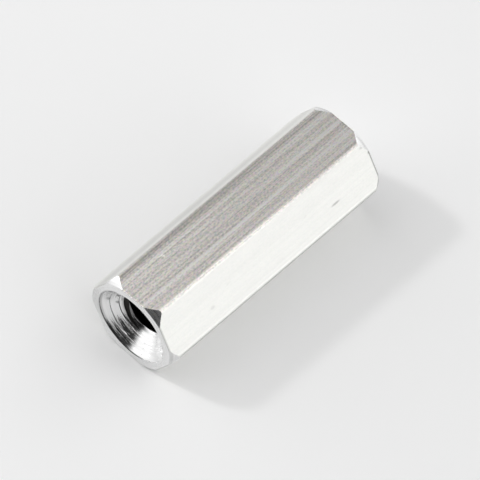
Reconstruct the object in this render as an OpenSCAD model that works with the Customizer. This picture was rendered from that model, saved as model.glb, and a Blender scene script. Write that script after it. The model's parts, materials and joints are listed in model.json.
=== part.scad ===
// Hex standoff: a short length of hexagonal aluminium bar, drilled and tapped right through,
// with a wide countersink in each mouth and its corners turned off at both ends.
// It lies on one flat. Its axis runs along X, and the origin is on that flat, under the middle.

/* [Bar] */
// Width across the flats
across_flats = 5.5; // [5.2:0.1:8]
// Overall length between the end faces
length = 16; // [8:0.5:50]
// Radius on the six long corners
corner_radius = 0.3; // [0.05:0.05:0.5]

/* [End chamfers] */
// Length of the chamfer along each corner
chamfer_length = 0.5; // [0.2:0.05:0.7]
// Slope of the chamfer, measured from the axis, in degrees
chamfer_angle = 30; // [20:5:45]

/* [Thread] */
// Nominal diameter of the screw that fits
thread_diameter = 3; // [2:0.5:4]
// Pitch of the thread
thread_pitch = 0.5; // [0.25:0.05:0.7]

/* [Countersinks] */
// Diameter of the countersink at each end face
countersink_diameter = 4.7; // [4:0.1:5]
// Included angle of the countersink, in degrees
countersink_angle = 90; // [60:10:120]

/* [Hidden] */
// Sides of the bar, and half the angle that one of them takes up
sides = 6;
half_side_angle = 180 / sides;

// Distance from the axis to the rounded corners, and to the centres of their rounding
rounding_centre = (across_flats / 2 - corner_radius) / cos(half_side_angle);
corner_reach = rounding_centre + corner_radius;

// The end face is round where the chamfer has taken the corners off
end_face_radius = corner_reach - chamfer_length * tan(chamfer_angle);

// The tapping drill leaves a bore one pitch smaller than the screw
bore_radius = (thread_diameter - thread_pitch) / 2;

// The countersink runs down to the bore
countersink_slope = tan(countersink_angle / 2);
countersink_depth = (countersink_diameter / 2 - bore_radius) / countersink_slope;

// Overrun of every cut past the surface that it starts from
cut_overrun = 0.4;

$fn = 96;

function direction(angle) = [cos(angle), sin(angle)];
function corner_angle(corner) = (2 * corner + 1) * half_side_angle;

// Section of the drawn bar, with one flat square to X
module bar_section() {
    polygon([
        for (corner = [0:sides - 1], side = [-1, 1])
            rounding_centre * direction(corner_angle(corner))
            + corner_radius * direction(corner_angle(corner) + side * half_side_angle)
    ]);
    for (corner = [0:sides - 1])
        translate(rounding_centre * direction(corner_angle(corner)))
            circle(r = corner_radius);
}

// Space that the lathe leaves: end faces square to the axis, and a cone that clips the corners
module turned_envelope() {
    clear_radius = corner_reach + cut_overrun;
    end = length / 2;
    shoulder = end - (clear_radius - end_face_radius) / tan(chamfer_angle);
    rotate_extrude()
        polygon([
            [0, -end],
            [end_face_radius, -end],
            [clear_radius, -shoulder],
            [clear_radius, shoulder],
            [end_face_radius, end],
            [0, end]
        ]);
}

// Space of the tapped bore and the countersinks in its two mouths, which run past the end faces
module hole_space() {
    end = length / 2;
    overrun_radius = countersink_diameter / 2 + cut_overrun * countersink_slope;
    rotate_extrude()
        polygon([
            [0, -end - cut_overrun],
            [overrun_radius, -end - cut_overrun],
            [bore_radius, -end + countersink_depth],
            [bore_radius, end - countersink_depth],
            [overrun_radius, end + cut_overrun],
            [0, end + cut_overrun]
        ]);
}

module standoff() {
    color("silver")
        translate([0, 0, across_flats / 2])
            rotate([0, 90, 0])
                difference() {
                    intersection() {
                        linear_extrude(height = length + 2 * cut_overrun, center = true)
                            bar_section();
                        turned_envelope();
                    }
                    hole_space();
                }
}

standoff();
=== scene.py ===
"""Looks of the hex standoff: drawn aluminium bar, countersunk at both ends and tapped right through."""

import json
import math

import bmesh
import bpy
from mathutils import Matrix, Vector


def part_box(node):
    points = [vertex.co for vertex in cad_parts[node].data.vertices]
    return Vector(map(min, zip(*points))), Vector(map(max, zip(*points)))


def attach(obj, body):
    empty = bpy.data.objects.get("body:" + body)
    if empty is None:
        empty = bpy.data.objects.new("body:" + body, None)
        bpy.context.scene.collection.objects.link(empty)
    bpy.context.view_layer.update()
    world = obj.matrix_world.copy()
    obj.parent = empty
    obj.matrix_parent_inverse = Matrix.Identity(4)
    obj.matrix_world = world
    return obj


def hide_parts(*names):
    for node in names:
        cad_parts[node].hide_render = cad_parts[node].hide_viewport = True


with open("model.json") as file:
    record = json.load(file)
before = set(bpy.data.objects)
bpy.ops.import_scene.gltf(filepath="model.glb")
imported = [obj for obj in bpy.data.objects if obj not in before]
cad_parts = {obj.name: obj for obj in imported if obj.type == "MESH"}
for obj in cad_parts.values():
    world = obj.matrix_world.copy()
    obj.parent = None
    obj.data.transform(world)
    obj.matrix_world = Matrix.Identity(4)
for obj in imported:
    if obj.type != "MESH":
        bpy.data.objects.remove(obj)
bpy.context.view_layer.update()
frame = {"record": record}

bl_info = {
    "name": "Hex Standoff",
    "version": (1, 0, 0),
    "blender": (4, 5, 0),
    "location": "3D View > Sidebar > Standoff",
    "description": "Models a tapped hexagonal standoff and the pale table that it lies on",
    "category": "Object",
}

# Bench units: the bar is modelled in millimetres about its own axis, and set down in metres at the end
MM = 0.001
NODE = "standoff"
BODY = "root"
SIDES = 6
HALF_SIDE = math.pi / SIDES

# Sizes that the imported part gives
LOW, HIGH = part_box(NODE)
BORE = next(m["dims"] for m in frame["record"]["mounts"] if m["name"] == "tapped_bore")

# Steps round a turned form, round one turn of the thread, round a corner and across a blunted edge
TURNED_STEPS = 192
THREAD_STEPS = 96
CORNER_STEPS = 10
BREAK_STEPS = 3

# Profile of a bevel that is a true arc
ARC_PROFILE = 0.5

# How far the lathe runs past the bar, the drill past its ends and the tap into the bore, in millimetres
LATHE_OVERRUN = 0.4
DRILL_OVERRUN = 0.2
TAP_OVERRUN = 0.08

# Form of the thread: slope of its flanks, flat at its root as a share of the pitch, sides of the tooth
FLANK_ANGLE = math.radians(30)
ROOT_FLAT_SHARE = 1 / 8
TOOTH_SIDES = 4

# Square rim of the mouths: its height and its flare in millimetres
RIM_HEIGHT = 0.06
RIM_FLARE = 0.004

# Steps in the wall of a mouth: share of the depth below the rim, and steep part and run in millimetres
CHATTER_RINGS = ((0.66, 0.055, 0.085), (0.34, 0.045, 0.13))

# Direction across the axis in which those steps fade out
LEAN_Y = -0.966
LEAN_Z = 0.259

# Tests: cosine past which a face is square to the axis, share of the half length past which an edge is
# on an end, and room round the bore in millimetres
SQUARE_COSINE = 0.99
END_SHARE = 0.995
BORE_ROOM = 0.01

# Clean up after the cuts: distance for merging in millimetres, angle for smoothing, weight of large faces
MERGE_DISTANCE = 0.0001
SMOOTH_ANGLE = math.radians(28)
LARGE_FACE_WEIGHT = 100


class StandoffSizes(bpy.types.PropertyGroup):
    """Sizes of the bar, its ends and its thread"""

    across_flats: bpy.props.FloatProperty(
        name="Across flats", description="Width of the bar between opposite flats",
        default=HIGH.z - LOW.z, subtype="DISTANCE", unit="LENGTH", precision=5)
    length: bpy.props.FloatProperty(
        name="Length", description="Length between the end faces",
        default=HIGH.x - LOW.x, subtype="DISTANCE", unit="LENGTH", precision=5)
    corner_radius: bpy.props.FloatProperty(
        name="Corner radius", description="Radius on the six long corners",
        default=0.30 * MM, subtype="DISTANCE", unit="LENGTH", precision=5)
    edge_break: bpy.props.FloatProperty(
        name="Edge break", description="Width of the blunted edge round each end face",
        default=0.05 * MM, subtype="DISTANCE", unit="LENGTH", precision=5)
    chamfer_length: bpy.props.FloatProperty(
        name="Chamfer length", description="Length of the end chamfer along each corner",
        default=0.50 * MM, subtype="DISTANCE", unit="LENGTH", precision=5)
    chamfer_angle: bpy.props.FloatProperty(
        name="Chamfer angle", description="Slope of the end chamfer from the axis",
        default=math.radians(30), subtype="ANGLE", unit="ROTATION")
    bore_radius: bpy.props.FloatProperty(
        name="Bore radius", description="Radius left by the tapping drill",
        default=BORE["r_mm"] * MM, subtype="DISTANCE", unit="LENGTH", precision=5)
    bore_length: bpy.props.FloatProperty(
        name="Bore length", description="Length of the bore between the countersinks",
        default=BORE["length_mm"] * MM, subtype="DISTANCE", unit="LENGTH", precision=5)
    countersink_angle: bpy.props.FloatProperty(
        name="Countersink angle", description="Included angle of the countersinks",
        default=math.radians(90), subtype="ANGLE", unit="ROTATION")
    thread_diameter: bpy.props.FloatProperty(
        name="Thread diameter", description="Nominal diameter of the screw that fits",
        default=3 * MM, subtype="DISTANCE", unit="LENGTH", precision=5)
    thread_pitch: bpy.props.FloatProperty(
        name="Thread pitch", description="Distance between neighbouring turns of the thread",
        default=0.5 * MM, subtype="DISTANCE", unit="LENGTH", precision=5)


class StandoffFinish(bpy.types.PropertyGroup):
    """Colours of the bare metal, and the near-black painted shade of the thread"""

    drawn_colour: bpy.props.FloatVectorProperty(
        name="Drawn flats", description="Colour of the flats as they come from the die",
        default=(0.826, 0.830, 0.806), subtype="COLOR", min=0, max=1)
    turned_colour: bpy.props.FloatVectorProperty(
        name="Turned ends", description="Colour of the end faces and chamfers",
        default=(0.865, 0.865, 0.865), subtype="COLOR", min=0, max=1)
    mouth_colour: bpy.props.FloatVectorProperty(
        name="Countersinks", description="Colour of the countersunk mouths",
        default=(0.92, 0.92, 0.92), subtype="COLOR", min=0, max=1)
    # The thread's near-black is painted shade inside the bore, not the colour of the cut metal
    thread_shade_colour: bpy.props.FloatVectorProperty(
        name="Thread", description="Colour of the tapped thread",
        default=(0.032, 0.031, 0.030), subtype="COLOR", min=0, max=1)


class StandoffStage(bpy.types.PropertyGroup):
    """Table, lamps and camera"""

    floor_colour: bpy.props.FloatVectorProperty(
        name="Table", description="Colour of the pale table",
        default=(0.955, 0.955, 0.955), subtype="COLOR", min=0, max=1)
    backdrop_colour: bpy.props.FloatVectorProperty(
        name="Backdrop", description="Colour that the camera sees past the edge of the table",
        default=(0.87, 0.87, 0.87), subtype="COLOR", min=0, max=1)
    left_lamp: bpy.props.FloatProperty(
        name="Left lamp", description="Power of the lamp at the left",
        default=0.42, unit="POWER")
    panel: bpy.props.FloatProperty(
        name="Panel", description="Power of the small panel above the bar",
        default=0.0042, unit="POWER", precision=4)
    room_light: bpy.props.FloatProperty(
        name="Room", description="Brightness of the room above the table", default=1.13)
    camera_azimuth: bpy.props.FloatProperty(
        name="Camera azimuth", description="Direction of the camera round the vertical",
        default=math.radians(-50.15), subtype="ANGLE", unit="ROTATION")
    camera_elevation: bpy.props.FloatProperty(
        name="Camera elevation", description="Height of the camera above the table, as an angle",
        default=math.radians(56.98), subtype="ANGLE", unit="ROTATION")
    camera_roll: bpy.props.FloatProperty(
        name="Camera roll", description="Turn of the camera about its own line of sight",
        default=math.radians(4.89), subtype="ANGLE", unit="ROTATION")
    camera_distance: bpy.props.FloatProperty(
        name="Camera distance", description="Distance from the camera to the middle of the bar",
        default=0.55, subtype="DISTANCE", unit="LENGTH")


# Modelling helpers


def mm(length):
    """A length from the settings, in the millimetres of the bench."""
    return length / MM


def from_axis(corner):
    """Distance of a vertex from the axis of the bar."""
    return math.hypot(corner.co.y, corner.co.z)


def start_bench():
    """Go to object mode with nothing selected, so that the next primitive is worked on alone."""
    if bpy.context.mode != "OBJECT":
        bpy.ops.object.mode_set(mode="OBJECT")
    bpy.ops.object.select_all(action="DESELECT")


def pick(kind, test):
    """Select, in edit mode, the faces or edges that the test accepts and nothing else."""
    mesh = bpy.context.edit_object.data
    bpy.ops.mesh.select_mode(type=kind)
    bpy.ops.mesh.select_all(action="DESELECT")
    form = bmesh.from_edit_mesh(mesh)
    for part in form.faces if kind == "FACE" else form.edges:
        part.select_set(test(part))
    form.select_flush_mode()
    bmesh.update_edit_mesh(mesh)


def round_stock(name, sides, radius, length, material):
    """Add a cylinder along X at the middle of the bench, and leave it in edit mode."""
    start_bench()
    bpy.ops.mesh.primitive_cylinder_add(
        vertices=sides, radius=radius, depth=length, rotation=(0, math.pi / 2, 0))
    stock = bpy.context.object
    stock.name = name
    stock.data.materials.append(material)
    bpy.ops.object.transform_apply(location=True, rotation=True, scale=True)
    bpy.ops.object.mode_set(mode="EDIT")
    return stock


def step_out(end, places):
    """Draw an end cap outwards through places, each an axial position, a radius and a lean."""
    pick("FACE", lambda face: face.normal.x * end > SQUARE_COSINE)
    form = bmesh.from_edit_mesh(bpy.context.edit_object.data)
    cap = next(face for face in form.faces if face.select)
    at = abs(cap.calc_center_median().x)
    radius = max(from_axis(corner) for corner in cap.verts)
    lean = 0.0
    for next_at, next_radius, next_lean in places:
        move = (end * (next_at - at), -lean * LEAN_Y, -lean * LEAN_Z)
        bpy.ops.mesh.extrude_region_move(TRANSFORM_OT_translate={"value": move})
        share = next_radius / radius
        bpy.ops.transform.resize(value=(1, share, share), center_override=(end * next_at, 0, 0))
        bpy.ops.transform.translate(value=(0, next_lean * LEAN_Y, next_lean * LEAN_Z))
        at = next_at
        radius = next_radius
        lean = next_lean


def refinish(form, material, test):
    """Give the faces that the test accepts a finish of their own, in edit mode."""
    form.data.materials.append(material)
    pick("FACE", test)
    form.active_material_index = len(form.data.materials) - 1
    bpy.ops.object.material_slot_assign()


def machine(bar, tool, operation):
    """Cut the bar with a tool that leaves its own finish, and put the tool away."""
    start_bench()
    bpy.context.view_layer.objects.active = bar
    cut = bar.modifiers.new(tool.name, "BOOLEAN")
    cut.operation = operation
    cut.solver = "MANIFOLD"
    cut.material_mode = "TRANSFER"
    cut.object = tool
    bpy.ops.object.modifier_apply(modifier=cut.name)
    bpy.data.objects.remove(tool)


# Forms of the standoff


def drawn_bar(sizes, material, end_material):
    """Hexagonal bar with rounded corners, faced ends and blunted end edges."""
    half_length = mm(sizes.length) / 2
    corner_reach = mm(sizes.across_flats) / 2 / math.cos(HALF_SIDE)
    corner_offset = mm(sizes.corner_radius) * math.tan(HALF_SIDE)
    bar = round_stock("tapped_hex_bar", SIDES, corner_reach, 2 * half_length, material)

    def runs_along(edge):
        return abs(edge.verts[0].co.x - edge.verts[1].co.x) > half_length

    def on_end(edge):
        return abs(edge.verts[0].co.x + edge.verts[1].co.x) / 2 > END_SHARE * half_length

    pick("EDGE", runs_along)
    bpy.ops.mesh.bevel(
        offset_type="OFFSET", offset=corner_offset, segments=CORNER_STEPS, profile=ARC_PROFILE)
    pick("EDGE", on_end)
    bpy.ops.mesh.bevel(
        offset_type="OFFSET", offset=mm(sizes.edge_break), segments=BREAK_STEPS, profile=ARC_PROFILE)
    refinish(bar, end_material, lambda face: abs(face.normal.x) > SQUARE_COSINE)
    return bar


def turned_envelope(sizes, material):
    """Round space that the lathe leaves, with a cone at each end that clips the six corners."""
    half_length = mm(sizes.length) / 2
    slope = math.tan(sizes.chamfer_angle)
    corner_radius = mm(sizes.corner_radius)
    reach = (mm(sizes.across_flats) / 2 - corner_radius) / math.cos(HALF_SIDE) + corner_radius
    end_radius = reach - mm(sizes.chamfer_length) * slope
    clear_radius = reach + LATHE_OVERRUN
    shoulder = half_length - (clear_radius - end_radius) / slope
    envelope = round_stock("turned_envelope", TURNED_STEPS, clear_radius, 2 * shoulder, material)
    for end in (-1, 1):
        step_out(end, [(half_length + LATHE_OVERRUN, end_radius - LATHE_OVERRUN * slope, 0)])
    return envelope


def drilled_hole(sizes, material, bore_material):
    """Space of the tapping drill and of the countersinks, with chatter rings and a square rim."""
    half_length = mm(sizes.length) / 2
    half_bore = mm(sizes.bore_length) / 2
    bore_radius = mm(sizes.bore_radius)
    slope = math.tan(sizes.countersink_angle / 2)
    depth = half_length - half_bore
    rim_radius = bore_radius + depth * slope

    def on_cone(at):
        return rim_radius + (at - half_length + RIM_HEIGHT) * slope

    def in_bore(face):
        return all(from_axis(corner) < bore_radius + BORE_ROOM for corner in face.verts)

    places = []
    for share, steep, run in CHATTER_RINGS:
        at = half_length - RIM_HEIGHT - share * depth
        lean = (steep * slope - RIM_FLARE) / 2
        places.append((at, on_cone(at), 0))
        places.append((at + steep, on_cone(at) + RIM_FLARE + lean, lean))
        places.append((at + steep + run, on_cone(at + steep + run), 0))
    places.append((half_length - RIM_HEIGHT, rim_radius, 0))
    places.append((half_length + DRILL_OVERRUN, rim_radius + RIM_FLARE, 0))
    hole = round_stock("drilled_hole", TURNED_STEPS, bore_radius, 2 * (half_bore - RIM_HEIGHT), material)
    for end in (-1, 1):
        step_out(end, places)
    refinish(hole, bore_material, in_bore)
    return hole


def tap(sizes, material):
    """Helical groove of the thread: a tapered tooth carried round the axis, closed at both ends."""
    pitch = mm(sizes.thread_pitch)
    bore_radius = mm(sizes.bore_radius)
    root_radius = mm(sizes.thread_diameter) / 2
    root_half = pitch * ROOT_FLAT_SHARE / 2
    inner_radius = bore_radius - TAP_OVERRUN
    middle_radius = (root_radius + inner_radius) / 2
    inner_half = root_half + (root_radius - inner_radius) * math.tan(FLANK_ANGLE)
    run = mm(sizes.bore_length) + 2 * (root_radius - bore_radius) + 2 * TAP_OVERRUN
    turns = math.ceil(run / pitch) + 1
    start_bench()
    bpy.ops.mesh.primitive_plane_add(size=1)
    tool = bpy.context.object
    tool.name = "tap"
    tool.data.materials.append(material)
    bpy.ops.object.mode_set(mode="EDIT")
    bpy.ops.transform.resize(value=(2 * inner_half, root_radius - inner_radius, 1))
    bpy.ops.transform.translate(value=(-turns * pitch / 2, middle_radius, 0))
    pick("EDGE", lambda edge: all(corner.co.y > middle_radius for corner in edge.verts))
    bpy.ops.transform.resize(value=(root_half / inner_half, 1, 1))
    bpy.ops.mesh.select_all(action="SELECT")
    bpy.ops.mesh.delete(type="ONLY_FACE")
    bpy.ops.object.mode_set(mode="OBJECT")
    sweep = tool.modifiers.new("sweep", "SCREW")
    sweep.axis = "X"
    sweep.screw_offset = pitch
    sweep.iterations = turns
    sweep.steps = THREAD_STEPS
    sweep.render_steps = THREAD_STEPS
    bpy.ops.object.modifier_apply(modifier=sweep.name)
    bpy.ops.object.mode_set(mode="EDIT")
    bpy.ops.mesh.select_all(action="SELECT")
    bpy.ops.mesh.fill_holes(sides=TOOTH_SIDES)
    bpy.ops.mesh.normals_make_consistent(inside=False)
    bpy.ops.object.mode_set(mode="OBJECT")
    return tool


def set_down(bar, sizes):
    """Merge what the cuts left, smooth the round forms, and lay the bar on its flat in metres."""
    start_bench()
    bpy.context.view_layer.objects.active = bar
    bar.select_set(True)
    bpy.ops.object.mode_set(mode="EDIT")
    bpy.ops.mesh.select_all(action="SELECT")
    bpy.ops.mesh.remove_doubles(threshold=MERGE_DISTANCE)
    bpy.ops.mesh.normals_make_consistent(inside=False)
    bpy.ops.transform.translate(value=(0, 0, mm(sizes.across_flats) / 2))
    bpy.ops.object.mode_set(mode="OBJECT")
    bpy.ops.object.shade_smooth_by_angle(angle=SMOOTH_ANGLE)
    weigh = bar.modifiers.new("flat_normals", "WEIGHTED_NORMAL")
    weigh.keep_sharp = True
    weigh.weight = LARGE_FACE_WEIGHT
    bpy.ops.object.modifier_apply(modifier=weigh.name)
    split = bar.modifiers.new("triangles", "TRIANGULATE")
    split.keep_custom_normals = True
    bpy.ops.object.modifier_apply(modifier=split.name)
    bpy.ops.transform.resize(value=(MM, MM, MM), center_override=(0, 0, 0))
    bpy.ops.object.transform_apply(location=True, rotation=True, scale=True)


# Material helpers

# Range that most values of a noise texture lie in
NOISE_LOW = 0.3
NOISE_HIGH = 0.7

# Shares of the reach of a mark and of a ring line inside which they are full
SPOT_CORE_SHARE = 0.2
LINE_CORE_SHARE = 0.3


def node(tree, kind, inputs=None, **settings):
    """Add a node, apply its settings, and link or set its inputs by name or place."""
    made = tree.nodes.new("ShaderNode" + kind)
    for name, value in settings.items():
        setattr(made, name, value)
    for key, value in (inputs or {}).items():
        if isinstance(value, bpy.types.NodeSocket):
            tree.links.new(value, made.inputs[key])
        else:
            made.inputs[key].default_value = value
    return made


def math_of(tree, operation, first, second=0.0, third=0.0):
    """Output of a Math node."""
    return node(tree, "Math", {0: first, 1: second, 2: third}, operation=operation).outputs[0]


def vector_of(tree, operation, first, second=(0, 0, 0)):
    """Output of a Vector Math node: a number for a length or a dot product, and otherwise a vector."""
    made = node(tree, "VectorMath", {0: first, 1: second}, operation=operation)
    return made.outputs["Value" if operation in ("LENGTH", "DOT_PRODUCT") else "Vector"]


def scaled(tree, colour, share):
    """The colour times a share that varies over the surface."""
    return node(tree, "VectorMath", {0: colour, "Scale": share}, operation="SCALE").outputs[0]


def remap(tree, value, low, high, to_low=0.0, to_high=1.0, smooth=False):
    """Output of a Map Range node, clamped to its ends."""
    ranges = {0: value, 1: low, 2: high, 3: to_low, 4: to_high}
    kind = "SMOOTHSTEP" if smooth else "LINEAR"
    return node(tree, "MapRange", ranges, interpolation_type=kind).outputs[0]


def noise(tree, vector, stretch, detail=2.0):
    """Noise texture over a vector that is stretched along its own axes."""
    spread = vector_of(tree, "MULTIPLY", vector, stretch)
    return node(tree, "TexNoise", {"Vector": spread, "Scale": 1.0, "Detail": detail})


def noise_to(tree, value, to_low, to_high):
    """The value of a noise texture, brought from its usual range to another."""
    return remap(tree, value, NOISE_LOW, NOISE_HIGH, to_low, to_high)


def bench_position(tree, sizes):
    """Object coordinates in millimetres, measured from the middle of the bore."""
    place = node(tree, "TexCoord").outputs["Object"]
    lift = (0, 0, -mm(sizes.across_flats) / 2)
    return node(tree, "Mapping", {"Vector": place, "Location": lift, "Scale": (1 / MM,) * 3}).outputs[0]


def start_material(name):
    """New material, given with its tree and its shader."""
    material = bpy.data.materials.new(name)
    material.use_nodes = True
    tree = material.node_tree
    return material, tree, tree.nodes["Principled BSDF"]


def metal(name):
    """New bare metal, given with its tree and its shader."""
    material, tree, shader = start_material(name)
    shader.inputs["Metallic"].default_value = 1.0
    return material, tree, shader


def relief(tree, shader, height, depth):
    """Feed a height into the shader as bump; a height of one stands for the depth in millimetres."""
    bump = node(tree, "Bump", {"Strength": 1.0, "Distance": depth * MM, "Height": height})
    tree.links.new(bump.outputs[0], shader.inputs["Normal"])


def spot(tree, position, centre, reach):
    """One inside a small rounded patch, falling to nought at its edge; all in millimetres."""
    offset = vector_of(tree, "SUBTRACT", position, centre)
    shares = vector_of(tree, "MULTIPLY", offset, tuple(1 / size for size in reach))
    return remap(tree, vector_of(tree, "LENGTH", shares), 1.0, SPOT_CORE_SHARE, smooth=True)


def ring_line(tree, distance, radius, reach):
    """One on a thin ring about the axis, falling to nought at either side; all in millimetres."""
    away = math_of(tree, "ABSOLUTE", math_of(tree, "SUBTRACT", distance, radius))
    return remap(tree, away, reach, LINE_CORE_SHARE * reach, smooth=True)


def patched(tree, share, mask, left):
    """The share, brought down or up to a part of itself where the mask is one."""
    return math_of(tree, "MULTIPLY", share, remap(tree, mask, 0.0, 1.0, 1.0, left))


def marked(tree, share, position, marks):
    """The share with a list of marks and patches of painted light, each a place, a reach and the part
    that is left.
    """
    for centre, reach, left in marks:
        share = patched(tree, share, spot(tree, position, centre, reach), left)
    return share


# Drawn flats

# Layers of the drawn finish: stretch along and across the bar, share of the relief, change in tone
DRAWN_LAYERS = (
    ((0.03, 5, 5), 0.5, 0.21),
    ((0.15, 14, 14), 0.25, 0.16),
    ((7, 11, 11), 0.15, 0.20),
)
TONE_DROP = 0.03

# Depth of the relief in millimetres, and roughness where the grain is low and where it is high
DRAWN_RELIEF = 0.04
DRAWN_ROUGHNESS = (0.46, 0.34)

# Heights above the axis, in millimetres, between which the finish grows from a faint share to the whole
UPPER_START = 2.62
UPPER_FULL = 2.73
FAINT_SHARE = 0.08

# Tint of the upper flat: spread and base of its colours over the grain
TINT_SPREAD = (0.45, 0.45, 0.45)
TINT_BASE = (0.822, 0.775, 0.755)

# Painted shade on the end edges of the flats: where it starts and is full, in millimetres from the end,
# and the part left
EDGE_SHADE_START = 0.12
EDGE_SHADE_FULL = 0.06
EDGE_SHADE_LEFT = 0.45

# Its darkest side, towards the lower right, how far from the axis it is full there, and its share on the
# other side
EDGE_SHADE_SIDE = (0, -0.8, -0.6)
SHADE_SIDE_FULL = 0.5
OTHER_SIDE_SHARE = 0.35

# Their share at the near end, and half the length over which it gives way to the far one, in millimetres
NEAR_END_SHARE = 0.5
HALF_CHANGE = 1.0

# Marks on the flats, and painted shade and painted highlights on them: place and reach in millimetres
# about the axis, and the part of the colour that is left, which is more than one where the metal is
# brighter
FLAT_MARKS_AND_PAINTED_LIGHT = (
    # Painted shade on the upper flat beside corner A
    ((0.0, 1.40, 2.75), (20.0, 0.45, 0.5), 0.79),
    ((0.0, 1.48, 2.72), (20.0, 0.18, 0.3), 0.82),
    ((0.0, 0.55, 2.75), (20.0, 0.40, 0.5), 1.05),
    ((0.0, 0.0, 2.75), (20.0, 0.32, 0.5), 0.90),
    ((0.0, -0.50, 2.75), (20.0, 0.35, 0.5), 1.06),
    ((1.0, -1.1, 2.75), (20.0, 0.40, 0.5), 0.90),
    # Painted shade on corner B, a little less on its far half
    ((0.0, -1.56, 2.70), (30.0, 0.20, 0.22), 0.86),
    ((5.0, -1.56, 2.70), (6.0, 0.22, 0.25), 0.88),
    # Painted shade in a thin line along corner C, and a painted highlight just above it
    ((0.0, -3.1, -0.04), (20.0, 0.2, 0.11), 0.70),
    ((0.0, -3.05, 0.16), (20.0, 0.3, 0.12), 1.08),
    # Painted shade over the upper left flat
    ((-3.0, 2.40, 1.40), (22.0, 1.2, 1.2), 0.83),
    # Scratch, spots and smudges
    ((4.85, -2.59, 1.01), (0.46, 0.10, 0.10), 0.60),
    ((7.62, -1.72, 2.52), (0.22, 0.14, 0.14), 0.75),
    ((7.93, -2.00, 2.03), (0.12, 0.12, 0.12), 0.60),
    ((-4.55, -2.59, 1.01), (0.25, 0.16, 0.16), 0.86),
    ((-3.10, -2.31, 1.50), (0.25, 0.12, 0.12), 0.95),
    ((2.80, -2.28, 1.55), (0.25, 0.12, 0.12), 0.95),
)

# Nick in the upper flat: place, reach, and depth as a share of the relief
NICK_PLACE = (-5.0, 0.74, 2.75)
NICK_REACH = (0.17, 0.17, 0.2)
NICK_DEPTH = 0.6


def painted_edge_shade(tree, sizes, position, place):
    """One on the end edges of the flats, where shade is painted, and less at the near end and on the
    upper left.
    """
    half_length = mm(sizes.length) / 2
    along = math_of(tree, "ABSOLUTE", place.outputs["X"])
    edge = remap(tree, along, half_length - EDGE_SHADE_START, half_length - EDGE_SHADE_FULL)
    end = remap(tree, place.outputs["X"], -HALF_CHANGE, HALF_CHANGE, NEAR_END_SHARE, 1.0)
    towards = vector_of(tree, "DOT_PRODUCT", position, EDGE_SHADE_SIDE)
    side = remap(tree, towards, 0.0, SHADE_SIDE_FULL, OTHER_SIDE_SHARE, 1.0)
    return math_of(tree, "MULTIPLY", math_of(tree, "MULTIPLY", edge, end), side)


def drawn_flat(sizes, finish):
    """Flats and corners as the die left them: lines along the bar, a fine grain and marks, with painted
    shade on the end edges, and painted shade and highlights along the corners and on the upper left flat.
    """
    material, tree, shader = metal("drawn_flat")
    position = bench_position(tree, sizes)
    place = node(tree, "SeparateXYZ", {0: position})
    upper = remap(tree, place.outputs["Z"], UPPER_START, UPPER_FULL, FAINT_SHARE, 1.0)
    height = 0.0
    tone = 0.0
    for stretch, rise, change in DRAWN_LAYERS:
        layer = noise(tree, position, stretch)
        height = math_of(tree, "MULTIPLY_ADD", layer.outputs[0], rise, height)
        tone = math_of(tree, "ADD", tone, noise_to(tree, layer.outputs[0], -change, change))
    height = math_of(tree, "MULTIPLY", height, upper)
    uneven = math_of(tree, "SUBTRACT", tone, TONE_DROP)
    share = math_of(tree, "MULTIPLY_ADD", uneven, upper, 1.0)
    # Painted shade along the end edges of the flats, strongest at the lower right
    share = patched(tree, share, painted_edge_shade(tree, sizes, position, place), EDGE_SHADE_LEFT)
    # Marks on the flats, with painted shade and painted highlights
    share = marked(tree, share, position, FLAT_MARKS_AND_PAINTED_LIGHT)
    nick = spot(tree, position, NICK_PLACE, NICK_REACH)
    height = math_of(tree, "MULTIPLY_ADD", nick, -NICK_DEPTH, height)

    # The last layer is the grain, which also tints and dulls the metal
    whole = scaled(tree, finish.drawn_colour, share)
    hues = {0: layer.outputs["Color"], 1: TINT_SPREAD, 2: TINT_BASE}
    tint = node(tree, "VectorMath", hues, operation="MULTIPLY_ADD").outputs[0]
    tinted = node(tree, "Mix", {0: upper, 6: whole, 7: tint}, data_type="RGBA", blend_type="MULTIPLY")
    tree.links.new(tinted.outputs[2], shader.inputs["Base Color"])
    tree.links.new(noise_to(tree, layer.outputs[0], *DRAWN_ROUGHNESS), shader.inputs["Roughness"])
    relief(tree, shader, height, DRAWN_RELIEF)
    return material


# Turned ends and mouths

# Arcs that the tool left: stretch outwards and round the axis, detail, and the part of the colour left
ARC_STRETCH = (13.0, 1.3, 1.3)
ARC_DETAIL = 3.0
ARC_LEFT = 0.93

# Roughness and its spread over the arcs, and depth of the arcs in millimetres
END_ROUGHNESS = 0.26
MOUTH_ROUGHNESS = 0.15
ROUGHNESS_SPREAD = 0.05
END_CHATTER = 0.003
MOUTH_CHATTER = 0.032

# Dark lines, painted shade at the rim of the mouth and a line at the inner edge of the chamfers: radii
# and reach in mm, parts left
LINE_REACH = 0.09
RIM_SHADE_RADIUS = 2.34
RIM_SHADE_LEFT = 0.62
CHAMFER_LINE_RADIUS = 2.88
CHAMFER_LINE_LEFT = 0.77

# Places across the bar, in millimetres, between which the painted shade at the rim of the mouth sets in,
# so that it lies on the left side
RIM_SHADE_START = 0.8
RIM_SHADE_FULL = 2.2
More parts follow.
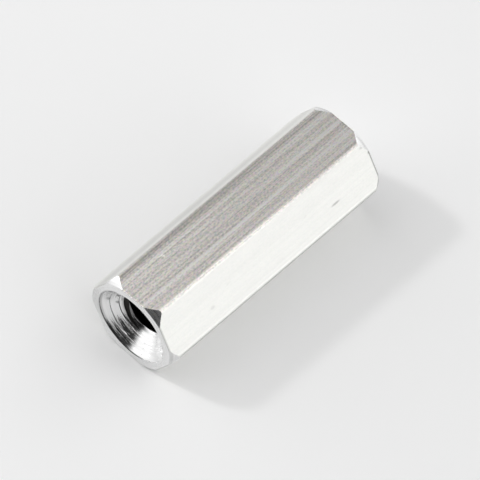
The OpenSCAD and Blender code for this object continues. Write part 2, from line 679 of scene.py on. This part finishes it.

# Painted shade on the turned ends, on the left of the end faces and on the chamfers at the right and
# upper right corners;
# painted shade in the mouths, deep in their lower left and on their left wall, and small dark marks
# there.
# All in the same terms as the marks on the flats
END_PAINTED_SHADE = (
    # Painted shade on the left of the end faces, at both ends
    ((-8.0, 2.75, -0.3), (0.4, 1.6, 2.6), 0.84),
    ((8.0, 2.75, -0.3), (0.4, 1.6, 2.6), 0.84),
    # Painted shade on the chamfers at the right corner
    ((-7.8, -3.0, 0.0), (0.5, 0.3, 0.6), 0.86),
    ((7.8, -3.0, 0.0), (0.5, 0.3, 0.6), 0.64),
    # Painted shade on the chamfers at the upper right corner
    ((7.75, -1.50, 2.60), (0.6, 0.7, 0.6), 0.88),
    ((-7.85, -1.95, 2.15), (0.35, 0.35, 0.35), 0.95),
)
MOUTH_MARKS_AND_SHADE = (
    # Painted shade deep in the lower left of the mouth and on its left wall
    ((-6.90, 1.30, -0.60), (0.34, 1.6, 1.6), 0.25),
    ((-6.95, 0.20, -1.30), (0.16, 0.7, 0.3), 0.30),
    ((-7.60, 2.00, 0.60), (0.6, 0.9, 0.9), 0.78),
    # Small dark marks
    ((-7.34, 1.61, 0.51), (0.20, 0.20, 0.18), 0.25),
    ((-7.32, 1.66, -0.19), (0.16, 0.16, 0.16), 0.40),
    ((-7.66, 2.00, 0.14), (0.20, 0.20, 0.22), 0.55),
    ((-7.77, 1.80, 1.12), (0.20, 0.20, 0.25), 0.50),
    ((-7.27, 0.63, -1.49), (0.08, 0.08, 0.08), 0.40),
    ((-7.42, -0.50, -1.69), (0.08, 0.08, 0.10), 0.70),
    ((-7.62, -0.60, -1.87), (0.07, 0.07, 0.09), 0.75),
    ((-7.85, -0.71, -2.08), (0.07, 0.07, 0.09), 0.75),
)


def turned_face(name, colour, sizes, roughness, chatter, marks):
    """End faces, chamfers and countersinks: fine rings about the axis, broken up by chatter, with dark
    lines, painted shade and small marks.
    """
    material, tree, shader = metal(name)
    position = bench_position(tree, sizes)
    across = vector_of(tree, "MULTIPLY", position, (0, 1, 1))
    distance = vector_of(tree, "LENGTH", across)
    outward = node(tree, "CombineXYZ", {"X": distance}).outputs[0]
    around = vector_of(tree, "NORMALIZE", across)
    arcs = noise(tree, vector_of(tree, "ADD", around, outward), ARC_STRETCH, ARC_DETAIL).outputs[0]
    share = noise_to(tree, arcs, ARC_LEFT, 1.0)
    place = node(tree, "SeparateXYZ", {0: position})
    # Painted shade: a dark line at the rim of the mouth, on its left side only
    side = remap(tree, place.outputs["Y"], RIM_SHADE_START, RIM_SHADE_FULL)
    rim_shade_line = math_of(tree, "MULTIPLY", ring_line(tree, distance, RIM_SHADE_RADIUS, LINE_REACH), side)
    chamfer_line = ring_line(tree, distance, CHAMFER_LINE_RADIUS, LINE_REACH)
    share = patched(tree, share, rim_shade_line, RIM_SHADE_LEFT)
    share = patched(tree, share, chamfer_line, CHAMFER_LINE_LEFT)
    # Painted shade on the ends and in the mouths, and small marks in the mouths
    share = marked(tree, share, position, marks)
    rough = noise_to(tree, arcs, roughness + ROUGHNESS_SPREAD, roughness - ROUGHNESS_SPREAD)
    tree.links.new(scaled(tree, colour, share), shader.inputs["Base Color"])
    tree.links.new(rough, shader.inputs["Roughness"])
    relief(tree, shader, arcs, chatter)
    return material


# Tapped thread

# Tearing by the tap: stretch, detail, part of the colour left, and roughness where it is low and high
TORN_STRETCH = (9, 9, 9)
TORN_DETAIL = 4.0
TORN_LEFT = 0.75
TORN_ROUGHNESS = (0.25, 0.42)


def tapped_thread(sizes, finish):
    """Cut thread, a little torn by the tap, in a near-black that is painted shade inside the bore."""
    material, tree, shader = metal("tapped_thread")
    torn = noise(tree, bench_position(tree, sizes), TORN_STRETCH, TORN_DETAIL).outputs[0]
    share = noise_to(tree, torn, TORN_LEFT, 1.0)
    tree.links.new(scaled(tree, finish.thread_shade_colour, share), shader.inputs["Base Color"])
    tree.links.new(noise_to(tree, torn, *TORN_ROUGHNESS), shader.inputs["Roughness"])
    return material


# Stage

# Table top: radius in metres, sides, roughness, and the stretch and tone of its cloudiness
TABLE_RADIUS = 1.5
TABLE_SIDES = 96
TABLE_ROUGHNESS = 0.3
CLOUD_STRETCH = (60, 60, 60)
CLOUD_LEFT = 0.99

# Left lamp: azimuth and elevation in degrees, distance and width in metres
LEFT_LAMP_AIM = (115, 42)
LEFT_LAMP_DISTANCE = 0.5
LEFT_LAMP_SIZE = 0.05

# Panel that hangs level over the bar: place and width in metres
PANEL_PLACE = (0.0, 0.02, 0.065)
PANEL_SIZE = 0.06

# Patches of the room: azimuth, elevation, half widths of core and whole in degrees, change in brightness
ROOM_PATCHES = (
    (105, 10, 8, 28, 0.35),
    (-80, 8, 15, 40, 0.45),
    (-10, 0, 15, 40, 0.35),
    (202, 22, 34, 48, -1.1),
    (60, 25, 14, 36, -0.25),
    (40, 57, 10, 42, -0.83),
    (150, 80, 10, 35, -0.2),
)
DARKEST_ROOM = 0.02

# Picture in pixels: its width, where the middle of the bar falls in it, and the bar's width across flats
PICTURE_SIZE = 480
BAR_MIDDLE = (236.22, 237.94)
PIXELS_ACROSS_FLATS = 103.635

# Camera: width of its sensor in millimetres, and its clipping distances in metres
SENSOR_WIDTH = 36.0
CLIP_START = 0.01
CLIP_END = 10.0


def direction(azimuth, elevation):
    """Unit vector at an azimuth from +X and an elevation above the table, in degrees."""
    turn = math.radians(azimuth)
    rise = math.radians(elevation)
    return Vector((math.cos(turn) * math.cos(rise), math.sin(turn) * math.cos(rise), math.sin(rise)))


def add_lamp(name, place, back, size, power):
    """Round soft lamp with its back to a direction, which the camera doesn't see."""
    start_bench()
    turn = back.to_track_quat("Z", "Y").to_euler()
    bpy.ops.object.light_add(type="AREA", location=place, rotation=turn)
    lamp = bpy.context.object
    lamp.name = name
    lamp.data.shape = "DISK"
    lamp.data.size = size
    lamp.data.energy = power
    lamp.visible_camera = False


def pale_board(look):
    """Pale board with a slight sheen and a faint cloudiness."""
    material, tree, shader = start_material("pale_board")
    shader.inputs["Roughness"].default_value = TABLE_ROUGHNESS
    place = node(tree, "TexCoord").outputs["Object"]
    cloud = noise(tree, place, CLOUD_STRETCH).outputs[0]
    share = noise_to(tree, cloud, CLOUD_LEFT, 1.0)
    tree.links.new(scaled(tree, look.floor_colour, share), shader.inputs["Base Color"])
    return material


def add_floor(look):
    """Round table top under the bar."""
    start_bench()
    bpy.ops.mesh.primitive_circle_add(vertices=TABLE_SIDES, radius=TABLE_RADIUS, fill_type="NGON")
    floor = bpy.context.object
    floor.name = "table_top"
    floor.data.materials.append(pale_board(look))


def light_room(look):
    """World: soft patches of light and dark round the table, and a plain backdrop for the camera."""
    world = bpy.data.worlds.new("room")
    world.use_nodes = True
    tree = world.node_tree
    towards = node(tree, "TexCoord").outputs["Generated"]
    total = look.room_light
    for azimuth, elevation, core, whole, change in ROOM_PATCHES:
        closeness = vector_of(tree, "DOT_PRODUCT", towards, direction(azimuth, elevation))
        rim = math.cos(math.radians(whole))
        heart = math.cos(math.radians(core))
        patch = remap(tree, closeness, rim, heart, 0.0, change, smooth=True)
        total = math_of(tree, "ADD", patch, total)
    total = math_of(tree, "MAXIMUM", total, DARKEST_ROOM)
    background = tree.nodes["Background"]
    tree.links.new(total, background.inputs["Color"])
    plain = node(tree, "Background", {"Color": (*look.backdrop_colour, 1.0)})
    seen = node(tree, "LightPath").outputs["Is Camera Ray"]
    shown = node(tree, "MixShader", {0: seen, 1: background.outputs[0], 2: plain.outputs[0]})
    tree.links.new(shown.outputs[0], tree.nodes["World Output"].inputs["Surface"])
    bpy.context.scene.world = world


def add_camera(sizes, look):
    """Long lens that looks down on the bar from the photographed side."""
    turn = look.camera_azimuth
    rise = look.camera_elevation
    back = Vector((math.sin(turn) * math.cos(rise), -math.cos(turn) * math.cos(rise), math.sin(rise)))
    level = Vector((math.cos(turn), math.sin(turn), 0))
    right = Matrix.Rotation(look.camera_roll, 3, back) @ level
    up = back.cross(right)
    pixel = sizes.across_flats / PIXELS_ACROSS_FLATS
    half = PICTURE_SIZE / 2
    middle = Vector((0, 0, sizes.across_flats / 2))
    place = middle + back * look.camera_distance
    place -= right * (BAR_MIDDLE[0] - half) * pixel
    place += up * (BAR_MIDDLE[1] - half) * pixel
    start_bench()
    facing = Matrix((right, up, back)).transposed()
    bpy.ops.object.camera_add(location=place, rotation=facing.to_euler())
    camera = bpy.context.object
    camera.name = "camera"
    camera.data.sensor_width = SENSOR_WIDTH
    camera.data.lens = SENSOR_WIDTH * look.camera_distance / (pixel * PICTURE_SIZE)
    camera.data.clip_start = CLIP_START
    camera.data.clip_end = CLIP_END
    bpy.context.scene.camera = camera


# Operators


class STANDOFF_OT_bar(bpy.types.Operator):
    """Model the tapped hexagonal bar"""

    bl_idname = "standoff.bar"
    bl_label = "Tapped Hex Bar"

    def execute(self, context):
        sizes = context.scene.standoff_sizes
        finish = context.scene.standoff_finish
        turned = turned_face(
            "turned_end", finish.turned_colour, sizes, END_ROUGHNESS, END_CHATTER, END_PAINTED_SHADE)
        mouth = turned_face(
            "countersunk_mouth", finish.mouth_colour, sizes, MOUTH_ROUGHNESS, MOUTH_CHATTER, MOUTH_MARKS_AND_SHADE)
        thread = tapped_thread(sizes, finish)
        bar = drawn_bar(sizes, drawn_flat(sizes, finish), turned)
        machine(bar, turned_envelope(sizes, turned), "INTERSECT")
        machine(bar, drilled_hole(sizes, mouth, thread), "DIFFERENCE")
        machine(bar, tap(sizes, thread), "DIFFERENCE")
        set_down(bar, sizes)
        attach(bar, BODY)
        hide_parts(NODE)
        return {"FINISHED"}


class STANDOFF_OT_stage(bpy.types.Operator):
    """Set out the table, the lamps, the room and the camera"""

    bl_idname = "standoff.stage"
    bl_label = "Table and Camera"

    def execute(self, context):
        sizes = context.scene.standoff_sizes
        look = context.scene.standoff_stage
        context.scene.view_settings.view_transform = "Standard"
        add_floor(look)
        left = direction(*LEFT_LAMP_AIM)
        add_lamp("left_lamp", left * LEFT_LAMP_DISTANCE, left, LEFT_LAMP_SIZE, look.left_lamp)
        add_lamp("panel", PANEL_PLACE, Vector((0, 0, 1)), PANEL_SIZE, look.panel)
        light_room(look)
        add_camera(sizes, look)
        return {"FINISHED"}


class STANDOFF_PT_panel(bpy.types.Panel):
    """Lists the standoff's sizes, colours and operators"""

    bl_label = "Hex Standoff"
    bl_idname = "STANDOFF_PT_panel"
    bl_space_type = "VIEW_3D"
    bl_region_type = "UI"
    bl_category = "Standoff"

    def draw(self, context):
        scene = context.scene
        for group in (scene.standoff_sizes, scene.standoff_finish, scene.standoff_stage):
            box = self.layout.box()
            for name in group.bl_rna.properties.keys():
                if name not in ("rna_type", "name"):
                    box.prop(group, name)
        self.layout.operator(STANDOFF_OT_bar.bl_idname)
        self.layout.operator(STANDOFF_OT_stage.bl_idname)


CLASSES = (
    StandoffSizes, StandoffFinish, StandoffStage, STANDOFF_OT_bar, STANDOFF_OT_stage, STANDOFF_PT_panel)


def register():
    """Register the classes and hang their settings on the scene."""
    for cls in CLASSES:
        bpy.utils.register_class(cls)
    bpy.types.Scene.standoff_sizes = bpy.props.PointerProperty(type=StandoffSizes)
    bpy.types.Scene.standoff_finish = bpy.props.PointerProperty(type=StandoffFinish)
    bpy.types.Scene.standoff_stage = bpy.props.PointerProperty(type=StandoffStage)


def unregister():
    """Take the settings and the classes away again."""
    del bpy.types.Scene.standoff_stage
    del bpy.types.Scene.standoff_finish
    del bpy.types.Scene.standoff_sizes
    for cls in reversed(CLASSES):
        bpy.utils.unregister_class(cls)


def main():
    """Build everything: register the settings, model the bar and set out the stage."""
    register()
    bpy.ops.standoff.bar()
    bpy.ops.standoff.stage()


if __name__ == "__main__":
    main()
